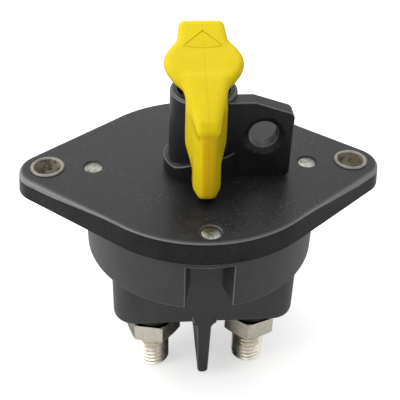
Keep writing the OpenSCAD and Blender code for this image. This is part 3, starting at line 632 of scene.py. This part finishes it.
def weigh_outer_edges(mesh, least_angle):
    """Gives a bevel weight to the sharp edges that stand out, and none to those in inner corners."""
    beside = {}
    for face in mesh.polygons:
        for key in face.edge_keys:
            beside.setdefault(key, []).append(face)
    weights = mesh.attributes.new("bevel_weight_edge", "FLOAT", "EDGE")
    for edge in mesh.edges:
        pair = beside.get(edge.key, ())
        if len(pair) == 2:
            small, large = sorted(pair, key=lambda face: face.area)
            outer = (small.center - large.center).dot(large.normal) < 0
            sharp = small.normal.angle(large.normal, 0.0) > least_angle
            weights.data[edge.index].value = float(outer and sharp)


def broken_edges(piece, width, clean):
    """Breaks the sharp outer edges of a CAD copy and marks them as worn, but for those in clean places."""
    flat, sharp = math.radians(0.3), math.radians(38)
    choose(piece)
    edit_whole()
    bpy.ops.mesh.dissolve_limited(angle_limit=flat)
    bpy.ops.object.mode_set(mode="OBJECT")
    # Two empty slots, so that the new faces can be told by the second one's number
    piece.data.materials.clear()
    for _ in range(2):
        piece.data.materials.append(None)
    weigh_outer_edges(piece.data, sharp)
    apply_modifier(piece, "BEVEL", width=width, segments=2, limit_method="WEIGHT", use_clamp_overlap=False,
                   material=1)
    edge = piece.data.attributes.new("broken_edge", "FLOAT", "FACE")
    for face in piece.data.polygons:
        edge.data[face.index].value = 0.0 if clean(face.center) else float(face.material_index)
        face.material_index = 0


def round_bar(radius, low, high, edge=0.0, sides=64, segments=4):
    """An upright round bar on the axis, its rims rounded where an edge is given."""
    choose_none()
    bpy.ops.mesh.primitive_cylinder_add(vertices=sides, radius=radius, depth=high - low,
                                        location=(0, 0, (low + high) / 2))
    bar = bpy.context.object
    settle(bar)
    if edge:
        apply_modifier(bar, "BEVEL", width=edge, segments=segments, limit_method="ANGLE")
    return bar


# Studs

def endless_thread(name, start, top, sizes):
    """A closed bar with a helical thread, made by turning one tooth upwards from its start."""
    depth, pitch = sizes.thread_depth, sizes.thread_pitch
    land, flank = 0.12 * pitch, 0.32 * pitch
    turns = math.ceil((top - start) / pitch) + 1
    merge = 0.001 * MM
    choose_none()
    bpy.ops.mesh.primitive_plane_add(size=pitch, location=(STUD_RADIUS - depth, 0, start))
    thread = bpy.context.object
    thread.name = name
    edit_whole()
    bpy.ops.mesh.merge(type="CENTER")
    for out, up in ((0, land), (depth, flank), (0, land), (-depth, flank), (0, land)):
        bpy.ops.mesh.extrude_region_move(TRANSFORM_OT_translate={"value": (out, 0, up)})
    settle(thread)
    apply_modifier(thread, "SCREW", axis="Z", angle=math.tau, screw_offset=pitch, iterations=turns,
                   steps=sizes.thread_steps, render_steps=sizes.thread_steps, use_merge_vertices=True,
                   merge_threshold=merge)
    edit_whole()
    bpy.ops.mesh.remove_doubles(threshold=merge)
    bpy.ops.mesh.fill_holes(sides=0)
    point_outwards()
    bpy.ops.object.mode_set(mode="OBJECT")
    return thread


def threaded_stud(name, box, sizes):
    """A stud with a real helical thread, a chamfered end and its flat head."""
    middle = (box[0] + box[1]) / 2
    bottom, top = box[0].z, box[1].z
    chamfer, head_edge = 1.5 * MM, 0.5 * MM
    clearance, overlap = 0.2 * MM, 0.2 * MM
    thread = endless_thread(name, bottom - 1.5 * sizes.thread_pitch, THREAD_TOP, sizes)
    envelope = round_bar(STUD_RADIUS + clearance, bottom, THREAD_TOP, sides=96)
    edit_where(envelope, lambda co: co.z < bottom + NEAR)
    bpy.ops.mesh.bevel(offset=chamfer, segments=1, affect="EDGES")
    bpy.ops.object.mode_set(mode="OBJECT")
    combine(thread, envelope, "INTERSECT")
    head = round_bar(STUD_HEAD, STUD_HEAD_BOTTOM, top, head_edge, segments=3)
    shank = round_bar(STUD_SHANK, THREAD_TOP, STUD_HEAD_BOTTOM + overlap)
    choose(thread, head, shank)
    bpy.ops.object.join()
    thread.location = (middle.x, middle.y, 0)
    settle(thread)
    smooth(thread, degrees=35)
    return thread


# Handle

def fill_inner_corners(piece, sizes):
    """Swells the skin in steps and draws it back, which leaves fillets in the inner corners."""
    steps = 3
    apply_modifier(piece, "REMESH", mode="VOXEL", voxel_size=sizes.skin_cell)
    for way in [1] * steps + [-1] * steps:
        apply_modifier(piece, "DISPLACE", strength=way * sizes.handle_fillet / steps, mid_level=0.0)
        apply_modifier(piece, "REMESH", mode="VOXEL", voxel_size=sizes.skin_cell)
        apply_modifier(piece, "SMOOTH", factor=0.5, iterations=1)


def arrow_groove(sizes):
    """A three-sided cutter for the groove round the arrow mark, lying in the cap's sloping top."""
    cap_height, slope, rise = 51.5 * MM, 0.5, 4 * MM
    upwards = Vector((0, -slope, 1)).normalized()
    tip = (0.0, 12.2)
    base = [(-7.3, 6.1), (-4.9, 5.6), (-2.4, 5.3), (0.0, 5.2), (2.4, 5.3), (4.9, 5.6), (7.3, 6.1)]
    corners = [tip] + base
    choose_none()
    bpy.ops.mesh.primitive_circle_add(vertices=len(corners), radius=tip[1] * MM, fill_type="NGON")
    cutter = bpy.context.object
    for vertex, (x, y) in zip(cutter.data.vertices, corners):
        vertex.co = Vector((x * MM, y * MM, cap_height + slope * (y * MM)))
    edit_whole("FACE")
    bpy.ops.mesh.inset(thickness=sizes.mark_width)
    bpy.ops.mesh.delete(type="FACE")
    point_outwards()
    bpy.ops.transform.translate(value=-sizes.mark_depth * upwards)
    bpy.ops.mesh.extrude_region_move(TRANSFORM_OT_translate={"value": rise * upwards})
    point_outwards()
    bpy.ops.object.mode_set(mode="OBJECT")
    return cutter


# Rivets

def rivet_pair(name, tail_z, turn, sizes):
    """Two rivets on opposite sides of the flange, each with a domed head and a clinched tail."""
    shank_radius, overlap = 2 * MM, 0.1 * MM
    tail_radius, tail_height, tail_edge, tail_gap = 2.9 * MM, 0.95 * MM, 0.4 * MM, 0.02 * MM
    brim = RIVET_SEAT + sizes.rivet_rise - sizes.rivet_dome
    head = round_bar(sizes.rivet_head, RIVET_SEAT, brim)
    bpy.ops.mesh.primitive_uv_sphere_add(segments=64, ring_count=32, radius=sizes.rivet_head,
                                         location=(0, 0, brim),
                                         scale=(1, 1, sizes.rivet_dome / sizes.rivet_head))
    dome = bpy.context.object
    shank = round_bar(shank_radius, tail_z - overlap, RIVET_SEAT + overlap)
    tail = round_bar(tail_radius, tail_z - tail_height, tail_z - tail_gap, tail_edge)
    choose(head, dome, shank, tail)
    bpy.ops.object.join()
    head.location = (RIVET_RING, 0, 0)
    settle(head)
    bpy.ops.object.duplicate()
    other = bpy.context.object
    choose(other)
    bpy.ops.transform.translate(value=(-2 * RIVET_RING, 0, 0))
    settle(other)
    choose(head, other)
    bpy.ops.object.join()
    head.rotation_euler.z = turn
    settle(head)
    head.name = name
    smooth(head)
    return head


# One operator for each piece or group of like pieces

class SWITCH_OT_cover(bpy.types.Operator):
    """Black cover: flange, boss, column and padlock ear with broken edges"""

    bl_idname = "switch.cover"
    bl_label = "Cover"

    def execute(self, context):
        colours, sizes = context.scene.switch_colours, context.scene.switch_sizes
        round_edge = 0.45 * MM
        black = finish("Cover black", cover_plastic, colours, sizes)
        piece = node_copy("cover", "cover_moulding")
        self.draw_in_shoulder(piece, sizes)
        broken_edges(piece, sizes.moulded_edge, lambda at: abs(at.z - FLANGE_TOP) < round_edge)
        smooth_flat_faces(piece)
        place_piece(piece, "base", "cover", black)
        return {"FINISHED"}

    def draw_in_shoulder(self, piece, sizes):
        """Draws the top of the flange's side up and in, in full where it is far from the tips."""
        lowest, highest = SHOULDER - 0.1 * MM, FLANGE_TOP - NEAR
        for vertex in piece.data.vertices:
            x, y, z = vertex.co
            on_shoulder = lowest < z < highest
            at_rivet = math.hypot(x, abs(y) - RIVET_RING) < RIVET_REACH
            in_middle = math.hypot(x, y) < MIDDLE_REACH
            if on_shoulder and not at_rivet and not in_middle:
                along = min(max((abs(y) - RISE_START) / (RISE_END - RISE_START), 0), 1)
                share = along * (FLANGE_TOP - z) / (FLANGE_TOP - SHOULDER)
                vertex.co.y -= math.copysign(share * sizes.shoulder_draft, y)
                vertex.co.z += share * sizes.shoulder_rise


class SWITCH_OT_housing(bpy.types.Operator):
    """Dark grey housing with its notches and barrier fin"""

    bl_idname = "switch.housing"
    bl_label = "Housing"

    def execute(self, context):
        colours, sizes = context.scene.switch_colours, context.scene.switch_sizes
        grey = finish("Housing grey", moulded_plastic, colours.housing, shade(colours.housing, 2.2),
                      rough=0.44, depth=0.07, worn=colours.worn_edge_and_sheen)
        piece = node_copy("housing", "housing_moulding")
        self.thicken_fin(piece, sizes)
        broken_edges(piece, sizes.moulded_edge, self.above_block_corner)
        smooth_flat_faces(piece)
        place_piece(piece, "base", "housing", grey)
        return {"FINISHED"}

    @staticmethod
    def above_block_corner(at):
        """Tells whether a place is by a corner of the block but above the ring's lower edge."""
        corner_reach, lowest = 4 * MM, RING_BOTTOM + 0.5 * MM
        return at.z > lowest and (Vector((abs(at.x), abs(at.y))) - BLOCK_CORNER).length < corner_reach

    def thicken_fin(self, piece, sizes):
        """Thickens the fin that stands down from the block."""
        edit_where(piece, lambda co: co.z < BLOCK_BOTTOM + NEAR and abs(co.x) < FIN_REACH)
        bpy.ops.transform.resize(value=(sizes.fin_swell, 1, 1), center_override=(0, 0, 0))
        bpy.ops.object.mode_set(mode="OBJECT")


class SWITCH_OT_handle(bpy.types.Operator):
    """Yellow handle with an arrow mark sunk in its cap"""

    bl_idname = "switch.handle"
    bl_label = "Handle"

    def execute(self, context):
        colours, sizes = context.scene.switch_colours, context.scene.switch_sizes
        yellow = finish("Handle yellow", handle_plastic, colours)
        piece = node_copy("handle", "handle_moulding")
        fill_inner_corners(piece, sizes)
        apply_modifier(piece, "SMOOTH", factor=0.5, iterations=sizes.skin_rounds)
        combine(piece, arrow_groove(sizes), "DIFFERENCE")
        smooth(piece, degrees=50)
        place_piece(piece, "turning", "handle", yellow)
        return {"FINISHED"}


class SWITCH_OT_studs(bpy.types.Operator):
    """Two threaded terminal studs"""

    bl_idname = "switch.studs"
    bl_label = "Studs"

    def execute(self, context):
        colours, sizes = context.scene.switch_colours, context.scene.switch_sizes
        plated = finish("Stud plating", stud_plating, colours)
        for side, box in STUD_BOXES.items():
            piece = threaded_stud(f"stud_{side}_thread", box, sizes)
            place_piece(piece, "base", f"stud_{side}", plated)
        return {"FINISHED"}


class SWITCH_OT_fasteners(bpy.types.Operator):
    """Nuts, washers, rivets and sleeves"""

    bl_idname = "switch.fasteners"
    bl_label = "Nuts, washers, rivets and sleeves"

    def execute(self, context):
        colours, sizes = context.scene.switch_colours, context.scene.switch_sizes
        plated = finish("Nut plating", nut_plating, colours)
        # Washers near black, partly as painted shade under the block
        washer = finish("Washer plating", handled_metal, colours.washers, shade(colours.washers, 0.4),
                        rough=0.32, rim=0.6)
        rivet = finish("Rivet metal", handled_metal, colours.rivets, shade(colours.rivets, 0.12), rough=0.3,
                       scale=1100.0, depth=0.12, blots=520.0, clean=0.4, rim=0.8)
        sleeve = finish("Sleeve steel", sleeve_metal, colours)
        for node, material in (("terminal_nuts", plated), ("flat_washers", washer), ("lock_washers", washer),
                               ("sleeve_left", sleeve), ("sleeve_right", sleeve)):
            dress(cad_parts[node], material)
        quarter = math.pi / 2
        for node, tail_z, turn in (("side_rivets", RING_BOTTOM, 0), ("end_rivets", LEDGE_BOTTOM, quarter)):
            pair = rivet_pair(f"{node}_turned", tail_z, turn, sizes)
            place_piece(pair, "base", node, rivet)
        return {"FINISHED"}


class SWITCH_OT_inner_parts(bpy.types.Operator):
    """Bush, seals, shaft, rotor, contact bar and spring"""

    bl_idname = "switch.inner_parts"
    bl_label = "Inner parts"

    def execute(self, context):
        colours = context.scene.switch_colours
        black = finish("Black rubber", moulded_plastic, colours.rubber, shade(colours.rubber, 1.6),
                       rough=0.62, grain=2200.0)
        steel = finish("Shaft steel", handled_metal, colours.steel, shade(colours.steel, 0.5), rough=0.3,
                       scale=2500.0, stretch=0.1)
        bronze = finish("Bush bronze", handled_metal, colours.bronze, shade(colours.bronze, 0.5), rough=0.4,
                        scale=3000.0)
        copper = finish("Contact copper", handled_metal, colours.copper, shade(colours.copper, 0.5),
                        rough=0.3)
        plain = finish("Inner plastic", moulded_plastic, colours.inner, shade(colours.inner, 1.15),
                       rough=0.5)
        for material, nodes in ((black, ("cover_gasket", "stud_seals", "shaft_seal")),
                                (steel, ("drive_shaft", "rotor_washer", "rotor_screw", "retaining_clip",
                                         "contact_spring")),
                                (bronze, ("shaft_bush",)),
                                (copper, ("contact_bar",)),
                                (plain, ("rotor", "thrust_washer"))):
            for node in nodes:
                dress(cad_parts[node], material)
        return {"FINISHED"}


class SWITCH_OT_stage(bpy.types.Operator):
    """Pale floor, soft lamps, white surroundings and the camera"""

    bl_idname = "switch.stage"
    bl_label = "Stage"

    def execute(self, context):
        settings = context.scene.switch_stage
        self.make_floor(settings)
        self.add_lamp("key_lamp", at=(-0.15, 0.35, 1.0), size=1.8, energy=settings.key_power)
        self.add_lamp("side_lamp", at=(-0.9, -0.25, 0.35), size=0.5, energy=settings.side_power)
        self.make_room(context, settings)
        self.make_camera(context, settings)
        context.scene.view_settings.view_transform = "Standard"
        return {"FINISHED"}

    def make_floor(self, settings):
        """Lays the floor just under the switch; only the camera sees its added glow."""
        gap = 0.02 * MM
        choose_none()
        bpy.ops.mesh.primitive_plane_add(size=6, location=(0, 0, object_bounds()[0].z - gap))
        floor = bpy.context.object
        floor.name = "floor"
        settle(floor)
        made, tree, shader = new_material("Floor")
        shader.inputs["Roughness"].default_value = 0.9
        shader.inputs["Base Color"].default_value = (*settings.floor, 1.0)
        seen = put(tree, "ShaderNodeLightPath", -200, 300).outputs["Is Camera Ray"]
        dark = put(tree, "ShaderNodeEmission", 200, 150, Strength=0.0).outputs["Emission"]
        glow = put(tree, "ShaderNodeEmission", 200, 300, Strength=0.55).outputs["Emission"]
        mixed = put(tree, "ShaderNodeMixShader", 450, 300, Fac=seen)
        feed(tree, mixed.inputs[1], dark)
        feed(tree, mixed.inputs[2], glow)
        both = put(tree, "ShaderNodeAddShader", 650, 150)
        feed(tree, both.inputs[0], shader.outputs["BSDF"])
        feed(tree, both.inputs[1], mixed.outputs["Shader"])
        out = next(node for node in tree.nodes if node.type == "OUTPUT_MATERIAL")
        out.location = (900, 0)
        feed(tree, out.inputs["Surface"], both.outputs["Shader"])
        dress(floor, made)
        floor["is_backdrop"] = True

    def add_lamp(self, name, at, size, energy):
        """Adds a square lamp that looks at the switch."""
        data = bpy.data.lights.new(name, "AREA")
        data.shape = "SQUARE"
        data.size = size
        data.energy = energy
        lamp = bpy.data.objects.new(name, data)
        bpy.context.scene.collection.objects.link(lamp)
        lamp.location = at
        lamp.rotation_mode = "QUATERNION"
        lamp.rotation_quaternion = (-Vector(at)).to_track_quat("-Z", "Y")

    def make_room(self, context, settings):
        """Lights the switch evenly; the camera, gloss and glass see the room as white."""
        world = bpy.data.worlds.new("White room")
        context.scene.world = world
        world.use_nodes = True
        tree = world.node_tree
        tree.nodes.clear()
        path = put(tree, "ShaderNodeLightPath", -700, 200).outputs
        shown = maths(tree, -550, 350, "MAXIMUM", path["Is Camera Ray"], path["Is Glossy Ray"])
        most = maths(tree, -400, 200, "MAXIMUM", shown, path["Is Transmission Ray"])
        strength = ramp(tree, -200, 200, most, 0.0, 1.0, settings.world_level, 1.0)
        back = put(tree, "ShaderNodeBackground", 100, 0, Color=(1, 1, 1, 1), Strength=strength)
        put(tree, "ShaderNodeOutputWorld", 400, 0, Surface=back.outputs["Background"])

    def make_camera(self, context, settings):
        """Sets the camera at the photograph's viewing angle."""
        sensor = 36
        a, e, turn = settings.azimuth, settings.elevation, settings.roll
        right = Vector((math.cos(a), math.sin(a), 0))
        back = Vector((math.sin(a) * math.cos(e), -math.cos(a) * math.cos(e), math.sin(e)))
        up = back.cross(right)
        rolled_right = math.cos(turn) * right + math.sin(turn) * up
        rolled_up = math.cos(turn) * up - math.sin(turn) * right
        data = bpy.data.cameras.new("camera")
        data.sensor_width = sensor
        data.lens = sensor * settings.focal
        data.clip_start, data.clip_end = 0.01, 20
        camera = bpy.data.objects.new("camera", data)
        context.scene.collection.objects.link(camera)
        axes = Matrix((rolled_right, rolled_up, back)).transposed().to_4x4()
        camera.matrix_world = Matrix.Translation(Vector(settings.target) + settings.distance * back) @ axes
        context.scene.camera = camera


class SWITCH_PT_panel(bpy.types.Panel):
    """Lists the switch's pieces and their sizes and colours"""

    bl_idname = "SWITCH_PT_panel"
    bl_label = "Battery disconnect switch"
    bl_space_type = "VIEW_3D"
    bl_region_type = "UI"
    bl_category = "Switch"

    def draw(self, context):
        for operator in OPERATORS:
            self.layout.operator(operator.bl_idname)
        for group in (context.scene.switch_sizes, context.scene.switch_colours, context.scene.switch_stage):
            box = self.layout.box()
            for name in group.bl_rna.properties.keys():
                if name not in ("rna_type", "name"):
                    box.prop(group, name)


OPERATORS = (SWITCH_OT_cover, SWITCH_OT_housing, SWITCH_OT_handle, SWITCH_OT_studs, SWITCH_OT_fasteners,
             SWITCH_OT_inner_parts, SWITCH_OT_stage)
GROUPS = {"switch_sizes": SwitchSizes, "switch_colours": SwitchColours, "switch_stage": StageSettings}


def register():
    for group in GROUPS.values():
        bpy.utils.register_class(group)
    for name, group in GROUPS.items():
        setattr(bpy.types.Scene, name, bpy.props.PointerProperty(type=group))
    for operator in OPERATORS:
        bpy.utils.register_class(operator)
    bpy.utils.register_class(SWITCH_PT_panel)


def unregister():
    bpy.utils.unregister_class(SWITCH_PT_panel)
    for operator in reversed(OPERATORS):
        bpy.utils.unregister_class(operator)
    for name, group in GROUPS.items():
        delattr(bpy.types.Scene, name)
        bpy.utils.unregister_class(group)


def main():
    register()
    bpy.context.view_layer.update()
    bpy.ops.switch.cover()
    bpy.ops.switch.housing()
    bpy.ops.switch.handle()
    bpy.ops.switch.studs()
    bpy.ops.switch.fasteners()
    bpy.ops.switch.inner_parts()
    bpy.ops.switch.stage()


if __name__ == "__main__":
    main()
